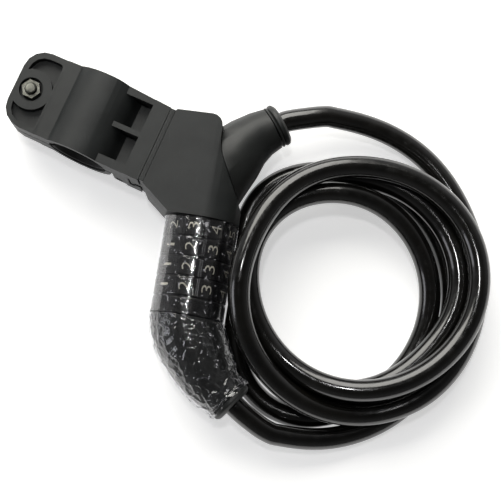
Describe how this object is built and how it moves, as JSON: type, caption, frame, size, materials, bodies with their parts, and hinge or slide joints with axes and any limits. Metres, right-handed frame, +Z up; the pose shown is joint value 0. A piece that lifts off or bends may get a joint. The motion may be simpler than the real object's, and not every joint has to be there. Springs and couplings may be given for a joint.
{
  "type": "cable lock",
  "caption": "Coiled cable lock: number-dial head with a pull-out plug on a coiled sheathed steel cable, and a slide-off clamp bracket for a bicycle seat post.",
  "frame": {"origin": "middle of the base of the head and bracket, without the cable, on the surface the lock lies on", "axes": "+Z up from that surface; +Y roughly along the lock axis from the plug towards the head; +X towards the coil"},
  "size_m": [0.2164, 0.1818, 0.0348],
  "materials": {
    "nylon": "matt moulded black nylon",
    "boot": "satin black moulded elastomer",
    "dial": "smooth black plastic with pale numbers",
    "zinc": "die-cast",
    "steel": "plain steel",
    "fastener": "darkened steel",
    "sheath": "glossy black PVC",
    "liner": "matt rubber",
    "film": "clear shrink film"
  },
  "bodies": {
    "lock_head": {"head_shell_top": "nylon", "head_shell_bottom": "nylon", "shell_screw_1": "steel", "shell_screw_2": "steel", "lock_barrel": "zinc", "spring_washer": "steel", "barrel_clip": "steel", "end_collar": "dial", "fixed_boot": "boot", "fixed_boot_ring": "boot", "fixed_ferrule": "zinc", "bracket_rail": "nylon", "film_body": "film", "cable_coil": "sheath", "cable_lead": "sheath"},
    "dial_1": {"dial_1": "dial", "dial_cam_1": "zinc"},
    "dial_2": {"dial_2": "dial", "dial_cam_2": "zinc"},
    "dial_3": {"dial_3": "dial", "dial_cam_3": "zinc"},
    "dial_4": {"dial_4": "dial", "dial_cam_4": "zinc"},
    "plug": {"plug_boot": "boot", "plug_boot_ring": "boot", "plug_ferrule": "zinc", "plug_pin": "steel", "film_boot": "film", "cable_tail": "sheath"},
    "bracket": {"bracket_arm": "nylon", "strap_pin": "steel", "liner_top": "liner", "clamp_nut": "fastener"},
    "clamp_screw": {"clamp_screw": "fastener"},
    "clamp_strap": {"clamp_strap": "nylon", "liner_bottom": "liner"}
  },
  "joints": [
    {"name": "dial_1_turn", "type": "hinge", "parent": "lock_head", "child": "dial_1", "pos_m": [0.02374, 0.00133, 0.0174], "axis": [0.1564, 0.9877, 0], "continuous": true},
    {"name": "dial_2_turn", "type": "hinge", "parent": "lock_head", "child": "dial_2", "pos_m": [0.02233, -0.00756, 0.0174], "axis": [0.1564, 0.9877, 0], "continuous": true},
    {"name": "dial_3_turn", "type": "hinge", "parent": "lock_head", "child": "dial_3", "pos_m": [0.02093, -0.01645, 0.0174], "axis": [0.1564, 0.9877, 0], "continuous": true},
    {"name": "dial_4_turn", "type": "hinge", "parent": "lock_head", "child": "dial_4", "pos_m": [0.01952, -0.02533, 0.0174], "axis": [0.1564, 0.9877, 0], "continuous": true},
    {"name": "plug_pull", "type": "slide", "parent": "lock_head", "child": "plug", "axis": [-0.1564, -0.9877, 0], "range_m": [0, 0.048]},
    {"name": "bracket_slide", "type": "slide", "parent": "lock_head", "child": "bracket", "axis": [0.4067, 0.9135, 0], "range_m": [0, 0.034]},
    {"name": "screw_travel", "type": "slide", "parent": "bracket", "child": "clamp_screw", "axis": [0, 0, -1], "range_m": [0, 0.005]},
    {"name": "strap_hinge", "type": "hinge", "parent": "bracket", "child": "clamp_strap", "pos_m": [-0.00657, 0.04526, 0.0088], "axis": [-0.4067, -0.9135, 0], "range_deg": [0, 5.6]}
  ],
  "couplings": [
    {"joint": "strap_hinge", "follows": "screw_travel", "rad_per_m": 19.1}
  ]
}
